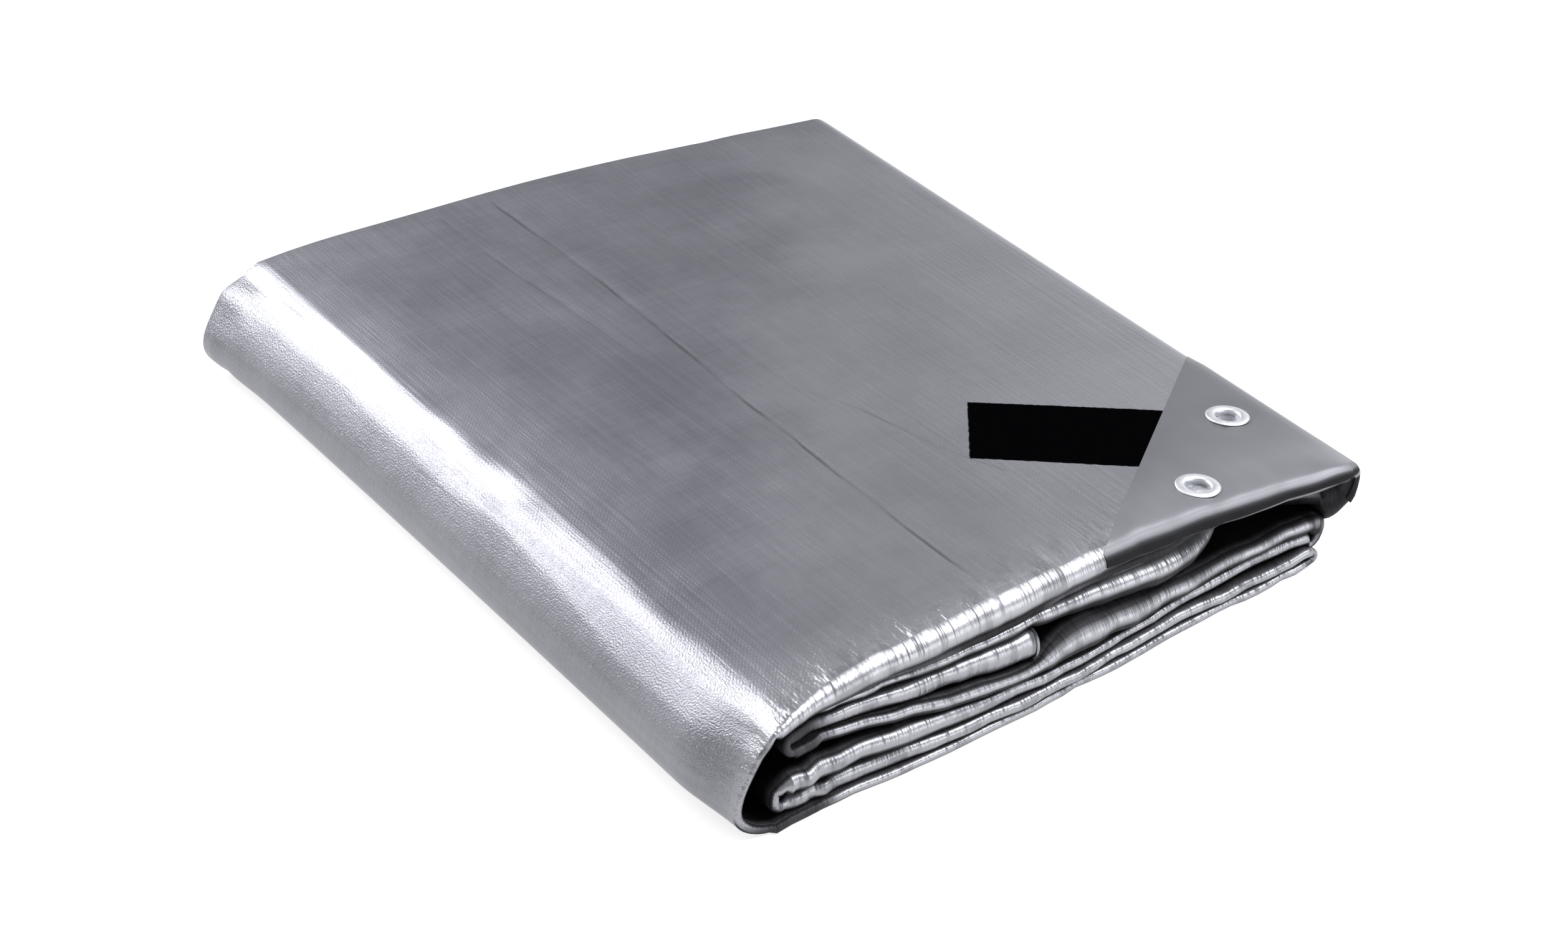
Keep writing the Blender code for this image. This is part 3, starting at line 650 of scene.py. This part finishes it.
class Paint:
    """A procedural material built on one Principled shader."""

    def __init__(self, name):
        self.material = bpy.data.materials.new(name)
        self.material.use_nodes = True
        self.tree = self.material.node_tree
        self.shader = self.tree.nodes["Principled BSDF"]

    def node(self, kind, settings=None, values=None, out=0):
        made = self.tree.nodes.new(kind)
        for name, value in (settings or {}).items():
            setattr(made, name, value)
        put(self.tree, made, values or {})
        return Sock(self.tree, made.outputs[out])

    def place(self):
        """Where a point lies on its piece, in metres."""
        return self.node("ShaderNodeTexCoord", out=3)

    def value(self, name):
        """A number that the mesh holds for each vertex."""
        return self.node("ShaderNodeAttribute", {"attribute_name": name}, out=2)

    def xyz(self, vector):
        split = self.tree.nodes.new("ShaderNodeSeparateXYZ")
        put(self.tree, split, (vector,))
        return [Sock(self.tree, s) for s in split.outputs]

    def vector(self, x, y):
        return self.node("ShaderNodeCombineXYZ", {}, {0: x, 1: y})

    def noise(self, where, scale, detail, rough):
        return self.node("ShaderNodeTexNoise", {}, {"Vector": where, "Scale": scale,
                                                    "Detail": detail, "Roughness": rough})

    def mix(self, share, first, second):
        made = self.tree.nodes.new("ShaderNodeMix")
        made.data_type = "RGBA"
        put(self.tree, made, {0: share, 6: first, 7: second})
        return Sock(self.tree, made.outputs[2])

    def bump(self, height, strength, distance):
        return self.node("ShaderNodeBump", {}, {"Height": height, "Strength": strength, "Distance": distance})

    def finish(self, **sockets):
        put(self.tree, self.shader, {name.replace("_", " "): v for name, v in sockets.items()})


# The dull and clear greys are the cloth's own random tone; the panel and fold greys are painted light, the
# crease grey and shade are painted shade, and the crumple dark is a painted dark reflection
DULL_GREY, CLEAR_GREY = (0.18, 0.182, 0.205, 1.0), (0.275, 0.277, 0.305, 1.0)
PANEL_LIGHT_GREY, FOLD_LIGHT_GREY = (0.385, 0.388, 0.415, 1.0), (0.44, 0.444, 0.47, 1.0)
CREASE_SHADE_GREY, CRUMPLE_REFLECTION_DARK = (0.085, 0.085, 0.1, 1.0), (0.02, 0.02, 0.024, 1.0)
SHADE, INK = (0.012, 0.012, 0.014, 1.0), (0.0008, 0.0008, 0.001, 1.0)
TAPE = 0.0024
TOP_FACE_FROM = 0.047
silver = Paint("silver sheet")
s, t, _ = silver.xyz(silver.node("ShaderNodeUVMap", {"uv_map": "flat"}))
px, py, pz = silver.xyz(silver.place())
fold_near, painted_shade_in = silver.value("near_fold"), silver.value("deep")


def cloth_noise(along, across, detail, rough):
    """Noise on the flat sheet, so many marks a metre along the strip and across it."""
    return silver.noise(silver.vector(s * along, t * across), 1.0, detail, rough)


weave = (s * (2.0 * math.pi / TAPE)).wave() * (t * (2.0 * math.pi / TAPE)).wave()
streaks = cloth_noise(420.0, 7.0, 3.0, 0.6)
fine_streaks = cloth_noise(1300.0, 30.0, 2.0, 0.5)
cross_streaks = cloth_noise(12.0, 520.0, 3.0, 0.6)
crinkles = cloth_noise(150.0, 90.0, 3.0, 0.58)
folds = cloth_noise(95.0, 34.0, 3.0, 0.6)
blotches = cloth_noise(14.0, 14.0, 4.0, 0.6)
glitter = cloth_noise(1050.0, 1050.0, 2.0, 0.6)
patchy = cloth_noise(30.0, 22.0, 2.0, 0.5).ramp(0.38, 0.6, 0.25, 1.0)
# Painted dark reflections: blotches that darken the crumpled fold noses, as they would mirror dark
# surroundings
crumpled = cloth_noise(95.0, 70.0, 3.0, 0.6).ramp(0.5, 0.62)
on_spine = px.ramp(-0.150, -0.172)
height_map = weave * 0.05 + streaks * 0.5 + fine_streaks * 0.25 + glitter * (on_spine * 1.3 + 0.25)
height_map = height_map + crinkles * (fold_near * patchy * 5.0 + 0.2)
height_map = height_map + cross_streaks * (fold_near * 0.8 + 0.25) + folds * fold_near * 9.0
silver_bump = silver.bump(height_map, 0.6, 0.0005)


def near_line(x0, y0, x1, y1, bow, width):
    """One on a line drawn on the top face, in millimetres, fading to nothing at its sides."""
    long = math.hypot(x1 - x0, y1 - y0)
    ux, uy = (x1 - x0) / long, (y1 - y0) / long
    ax, ay = px * 1000.0 - (x0 + CENTRE_SHIFT[0]), py * 1000.0 - (y0 + CENTRE_SHIFT[1])
    share = (ax * ux + ay * uy) / long
    wander = (blotches - 0.5) * 5.0
    off = (ax * -uy + ay * ux - (share * (2.0 * math.pi)).wave() * bow + wander).size()
    return off.ramp(0.0, width, 1.0, 0.0) * share.ramp(0.0, 0.04) * share.ramp(0.96, 1.0, 1.0, 0.0)


top_only = pz.over(TOP_FACE_FROM)
# Painted shade: dark lines painted along three creases of the top face, where their troughs would hold shade
crease_shade = near_line(-29, 232, -46, -226, 2.0, 1.5) * patchy
crease_shade = crease_shade.most(near_line(-60, 225, -58, 20, -1.5, 1.3) * patchy * 0.5)
crease_shade = crease_shade.most(near_line(-15, -30, 20, -150, 3.0, 1.6) * patchy * 0.5)
tone = streaks.ramp(0.3, 0.7) * 0.28 + blotches.ramp(0.3, 0.7) * 0.52 + cross_streaks.ramp(0.3, 0.7) * 0.2
# Painted light: the top face is made lighter towards its right-hand panel, as the light falls brighter there
right_panel_light = (px - py * 0.7 + (blotches - 0.5) * 0.06).ramp(-0.055, 0.04)
ragged_end = px.ramp(0.112, 0.15) * pz.ramp(TOP_FACE_FROM, 0.044)
grey = silver.mix(tone, DULL_GREY, CLEAR_GREY)
grey = silver.mix(right_panel_light * top_only * 0.42, grey, PANEL_LIGHT_GREY)
grey = silver.mix(crease_shade * top_only * 0.7, grey, CREASE_SHADE_GREY)
# Painted light: the cloth is made lighter near the front folds, where they catch the light
grey = silver.mix(fold_near * 0.55, grey, FOLD_LIGHT_GREY)
# Painted dark reflections on the crumpled fold noses, more at the ragged right-hand end
grey = silver.mix(crumpled * fold_near * (ragged_end * 0.5 + 0.3), grey, CRUMPLE_REFLECTION_DARK)
# Painted shade between the layers, on the fold flanks and in the hollows
grey = silver.mix(painted_shade_in, grey, SHADE)
silver.finish(Base_Color=grey, Metallic=0.8, Normal=silver_bump,
              Roughness=blotches * 0.1 + 0.25 + fine_streaks * 0.08 + painted_shade_in * 0.3 + fold_near * 0.01)

# A plain printed bar runs out from under the patch, in metres on the top face
BAR_END, BAR_AXIS, BAR_LONG, BAR_WIDE = (0.0304, -0.1025), (0.816, -0.578), 0.100, 0.056
EDGE_BLUR = 0.0006
bar_along = (px - BAR_END[0]) * BAR_AXIS[0] + (py - BAR_END[1]) * BAR_AXIS[1]
bar_aside = ((px - BAR_END[0]) * -BAR_AXIS[1] + (py - BAR_END[1]) * BAR_AXIS[0]).size()
ragged = (streaks - 0.5) * 0.0014
bar = (bar_along + ragged).ramp(0.0, EDGE_BLUR) * bar_along.ramp(BAR_LONG, BAR_LONG + EDGE_BLUR, 1.0, 0.0)
bar = bar * (bar_aside + ragged).ramp((BAR_WIDE - EDGE_BLUR) / 2.0, (BAR_WIDE + EDGE_BLUR) / 2.0, 1.0, 0.0)
ink = silver.node("ShaderNodeBsdfPrincipled", {}, {"Base Color": INK, "Roughness": 1.0,
                                                   "Specular IOR Level": 0.0, "Normal": silver_bump})
cloth_shader = Sock(silver.tree, silver.shader.outputs[0])
mixed = silver.node("ShaderNodeMixShader", {}, {0: bar * top_only, 1: cloth_shader, 2: ink})
silver.tree.links.new(mixed.socket, silver.tree.nodes["Material Output"].inputs["Surface"])
mesh.materials.append(silver.material)
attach(folded_sheet, "root")
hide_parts("tarp")


# The corner patch
# A triangle of smooth film welded over the sheet's corner, turned down over the front fold and the
# right-hand fold, thinned to the cloth along its long side.
LONG_SIDE_START, LONG_SIDE_END = np.array((23.8, -210.4)), np.array((158.8, -97.9))
FILM_THICK, FILM_THIN, FILM_UNDER = 1.15, 0.4, 0.08
WELD_WIDTH, PATCH_LEFT_X, TOP_FACE_Z = 9.0, 12.0, 50.0
PRESS_DEPTH, PRESS_RADIUS, PRESS_WIDTH = 0.3, 12.0, 2.5
line_way = LONG_SIDE_END - LONG_SIDE_START
line_way = line_way / np.linalg.norm(line_way)
first_row = int(np.searchsorted(places, RIGHT_TURN + 0.36))
last_row = int(np.searchsorted(places, TOP + (RIGHT_X - PATCH_LEFT_X) / (RIGHT_X - SPINE_X)))
patch_columns = np.flatnonzero(((ply_at == "outer ply") & (along_at > 0.62))
                               | ((ply_at == "outer fold") & (along_at < 0.52)))
patch_cloth = cloth[first_row:last_row][:, patch_columns] + CENTRE_SHIFT
patch_ways = cloth_normals[first_row:last_row][:, patch_columns]
from_start = patch_cloth[:, :, :2] - LONG_SIDE_START
inside_line = from_start[:, :, 0] * line_way[1] - from_start[:, :, 1] * line_way[0]
film_top = FILM_THIN + (FILM_THICK - FILM_THIN) * smooth(inside_line / WELD_WIDTH)
for eyelet in EYELETS:
    away = np.hypot(patch_cloth[:, :, 0] - eyelet.x, patch_cloth[:, :, 1] - eyelet.y)
    film_top -= PRESS_DEPTH * np.exp(-((away - PRESS_RADIUS) / PRESS_WIDTH) ** 2)
upper = patch_cloth + patch_ways * film_top[:, :, None]
lower = patch_cloth + patch_ways * FILM_UNDER
high, wide = upper.shape[:2]
under = high * wide
at = np.arange(under).reshape(high, wide).tolist()
patch_points = np.concatenate([upper.reshape(-1, 3), lower.reshape(-1, 3)])
patch_faces = [(at[i][j], at[i + 1][j], at[i + 1][j + 1], at[i][j + 1])
               for i in range(high - 1) for j in range(wide - 1)]
patch_points, patch_faces = with_holes(patch_points, patch_faces, patch_points[:, 2] > TOP_FACE_Z)
for i in range(high - 1):
    patch_faces += [(at[i][j], at[i + 1][j], at[i + 1][j] + under, at[i][j] + under) for j in (0, wide - 1)]
for j in range(wide - 1):
    patch_faces += [(at[i][j], at[i][j + 1], at[i][j + 1] + under, at[i][j] + under) for i in (0, high - 1)]
mesh = bpy.data.meshes.new("patch_film")
mesh.from_pydata(patch_points * MM, [], patch_faces)

# Painted shade on the film where it turns under at the front and at its right-hand tip, and a little on its
# front crest to dim its highlight
way_x, way_y, way_z = (patch_ways[:, :, k] for k in range(3))
turned_under = smooth((0.93 - way_z) / 0.45) * smooth((-way_y - 0.1) / 0.2)
right_tip = smooth((way_x - 0.15) / 0.3) * smooth((-patch_cloth[:, :, 1] - 170.0) / 25.0)
right_tip = right_tip * smooth((50.5 - patch_cloth[:, :, 2]) / 3.0)
crest = smooth((0.997 - way_z) / 0.08) * smooth((-way_y - 0.02) / 0.1)
film_painted_shade = np.maximum(0.95 * np.maximum(turned_under, right_tip), 0.32 * crest)
vertex_value(mesh, "deep", np.concatenate([film_painted_shade.ravel()] * 2))

# The film is cut along its long side, and its edge turned down to the cloth
patch_mesh = bmesh.new()
patch_mesh.from_mesh(mesh)
whole = patch_mesh.verts[:] + patch_mesh.edges[:] + patch_mesh.faces[:]
cut = bmesh.ops.bisect_plane(patch_mesh, geom=whole, dist=1e-7, plane_co=Vector((*LONG_SIDE_START, 0.0)) * MM,
                             plane_no=Vector((-line_way[1], line_way[0], 0.0)), clear_outer=True)
long_side = [e for e in cut["geom_cut"] if isinstance(e, bmesh.types.BMEdge)]
turned_down = bmesh.ops.extrude_edge_only(patch_mesh, edges=long_side)["geom"]
bmesh.ops.translate(patch_mesh, vec=(0.0, 0.0, -FILM_THIN * MM),
                    verts=[v for v in turned_down if isinstance(v, bmesh.types.BMVert)])
bmesh.ops.delete(patch_mesh, geom=[v for v in patch_mesh.verts if not v.link_faces], context="VERTS")
bmesh.ops.recalc_face_normals(patch_mesh, faces=patch_mesh.faces)
patch_mesh.to_mesh(mesh)
patch_mesh.free()
mesh.shade_smooth()
mesh.set_sharp_from_angle(angle=math.radians(40.0))
patch_piece = bpy.data.objects.new("patch_film", mesh)
scene.collection.objects.link(patch_piece)

FILM_DULL, FILM_CLEAR = (0.165, 0.167, 0.183, 1.0), (0.205, 0.207, 0.223, 1.0)
FILM_FRONT_LIGHT = (0.29, 0.293, 0.318, 1.0)
film = Paint("patch film")
film_place = film.place()
fx, fy, fz = film.xyz(film_place)
film_cloud = film.noise(film_place, 26.0, 3.0, 0.5)
film_grain = film.noise(film_place, 900.0, 2.0, 0.5)
film_colour = film.mix(film_cloud, FILM_DULL, FILM_CLEAR)
# Painted light: the film is made lighter towards the front, where it catches more light
film_colour = film.mix(fy.ramp(-0.150, -0.215) * 0.85, film_colour, FILM_FRONT_LIGHT)
# Painted light: a thin streak low on the film's turned-under front is kept lighter within its painted shade
streak_height = fz + fx * 0.004
streak = (streak_height + film_cloud * 0.0012).ramp(0.0462, 0.047)
streak = streak * streak_height.ramp(0.0478, 0.0486, 1.0, 0.0)
film_painted_shade_mix = film.value("deep") * (1.0 - streak * 0.7)
film_colour = film.mix(film_painted_shade_mix, film_colour, SHADE)
film.finish(Base_Color=film_colour, Metallic=0.7, Roughness=film_cloud * 0.1 + 0.3 + film_painted_shade_mix * 0.75,
            Normal=film.bump(film_grain * 0.1 + film_cloud, 0.25, 0.0008))
mesh.materials.append(film.material)
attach(patch_piece, "root")
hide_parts("corner_patch")


# The eyelets
# Pressed aluminium rings: a domed rim on the patch, a barrel through the cloth and a curled foot
# under it, turned here as one smooth profile of radius and height over the cloth.
RING_PROFILE = ((6.0, 1.1), (9.5, 1.1), (9.95, 1.2), (10.1, 1.4), (9.85, 1.7), (9.1, 1.95), (8.1, 2.15),
                (7.2, 2.1), (6.5, 1.95), (5.95, 1.7), (5.65, 1.2), (5.5, 0.4), (5.5, -1.5), (5.65, -2.0),
                (6.3, -2.4), (7.6, -2.5), (8.4, -2.3), (8.3, -1.8), (6.4, -1.6), (6.1, -0.8), (6.05, 0.5))
RING_STEPS = 72
SEAT_REACH = 14.0
DULL_METAL, CLEAR_METAL = (0.62, 0.63, 0.66, 1.0), (0.78, 0.79, 0.82, 1.0)
metal = Paint("eyelet aluminium")
metal_scuff = metal.noise(metal.place(), 700.0, 4.0, 0.6)
metal.finish(Base_Color=metal.mix(metal_scuff, DULL_METAL, CLEAR_METAL), Metallic=1.0,
             Roughness=metal_scuff * 0.2 + 0.36, Normal=metal.bump(metal_scuff, 0.1, 0.0003))
outer_columns = ply_at == "outer ply"
top_cloth = cloth[stretch_at == TOP][:, outer_columns] + CENTRE_SHIFT
top_ways = cloth_normals[stretch_at == TOP][:, outer_columns]
for eyelet in EYELETS:
    near = np.hypot(top_cloth[:, :, 0] - eyelet.x, top_cloth[:, :, 1] - eyelet.y) < SEAT_REACH
    up = Vector(top_ways[near].mean(0)).normalized()
    level = float((top_cloth[near] @ np.array(up)).mean())
    seat = Vector((eyelet.x, eyelet.y, (level - up.x * eyelet.x - up.y * eyelet.y) / up.z))
    stand = Matrix.Translation(seat) @ up.to_track_quat("Z", "Y").to_matrix().to_4x4()
    ring_mesh = bmesh.new()
    rings = []
    for step in range(RING_STEPS):
        angle = 2.0 * math.pi * step / RING_STEPS
        rings.append([ring_mesh.verts.new(stand @ Vector((r * math.cos(angle), r * math.sin(angle), z)) * MM)
                      for r, z in RING_PROFILE])
    for step in range(RING_STEPS):
        here, following = rings[step], rings[(step + 1) % RING_STEPS]
        for k in range(len(RING_PROFILE)):
            m = (k + 1) % len(RING_PROFILE)
            ring_mesh.faces.new([here[k], here[m], following[m], following[k]])
    bmesh.ops.recalc_face_normals(ring_mesh, faces=ring_mesh.faces)
    mesh = bpy.data.meshes.new(f"{eyelet.node}_ring")
    ring_mesh.to_mesh(mesh)
    ring_mesh.free()
    mesh.shade_smooth()
    mesh.materials.append(metal.material)
    ring = bpy.data.objects.new(f"{eyelet.node}_ring", mesh)
    scene.collection.objects.link(ring)
    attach(ring, "root")
    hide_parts(eyelet.node)


# The studio
# A plain white floor under broad soft light: a lamp beyond the spine makes its bright shoulder, one
# overhead and a weak low one catch the front folds, and a far panel lightens the right-hand side.
FLOOR_CORNERS = ((-30.0, -30.0, 0.0), (30.0, -30.0, 0.0), (30.0, 30.0, 0.0), (-30.0, 30.0, 0.0))
FLOOR_DULL, FLOOR_CLEAR = (0.28, 0.28, 0.28, 1.0), (0.30, 0.30, 0.30, 1.0)
floor_mesh = bpy.data.meshes.new("floor")
floor_mesh.from_pydata(FLOOR_CORNERS, [], [(0, 1, 2, 3)])
floor = bpy.data.objects.new("floor", floor_mesh)
scene.collection.objects.link(floor)
white = Paint("white floor")
floor_cloud = white.noise(white.place(), 3.0, 2.0, 0.5)
white.finish(Base_Color=white.mix(floor_cloud, FLOOR_DULL, FLOOR_CLEAR), Roughness=0.9,
             Emission_Color=(1.0, 1.0, 1.0, 1.0), Emission_Strength=0.78)
floor_mesh.materials.append(white.material)

world = bpy.data.worlds.new("studio")
scene.world = world
world.use_nodes = True
world.node_tree.nodes["Background"].inputs["Color"].default_value = (0.92, 0.94, 1.0, 1.0)
world.node_tree.nodes["Background"].inputs["Strength"].default_value = 0.37
Lamp = namedtuple("Lamp", "name way distance wide high power")
LAMPS = (
    Lamp("shoulder lamp", (-0.32, 0.70, 0.56), 1.6, 1.0, 1.1, 34.0),
    Lamp("overhead lamp", (0.47, -0.28, 0.82), 1.6, 1.0, 1.1, 32.0),
    Lamp("front lamp", (0.46, -0.86, 0.20), 1.7, 1.3, 0.6, 7.5),
    Lamp("far panel", (0.86, 0.48, 0.26), 2.4, 1.6, 0.6, 3.0),
)
for lamp in LAMPS:
    data = bpy.data.lights.new(lamp.name, "AREA")
    data.shape = "RECTANGLE"
    data.size, data.size_y = lamp.wide, lamp.high
    data.energy = lamp.power
    light = bpy.data.objects.new(lamp.name, data)
    scene.collection.objects.link(light)
    way = Vector(lamp.way).normalized()
    light.location = way * lamp.distance
    light.rotation_mode = "QUATERNION"
    light.rotation_quaternion = way.to_track_quat("Z", "Y")
scene.view_settings.view_transform = "Standard"

# The camera looks down at the front left corner. Its place is given from the packet's own middle.
CAMERA_PLACE, CAMERA_ELEVATION, CAMERA_TURN = (-0.7071, -1.0698, 0.7246), 29.5, 33.5
camera_data = bpy.data.cameras.new("camera")
camera_data.sensor_width = 36.0
camera_data.lens = 71.54
camera = bpy.data.objects.new("camera", camera_data)
scene.collection.objects.link(camera)
camera.location = Vector(CAMERA_PLACE) + Vector(CENTRE_SHIFT) * MM
camera.rotation_euler = (math.radians(90.0 - CAMERA_ELEVATION), 0.0, math.radians(-CAMERA_TURN))
scene.camera = camera
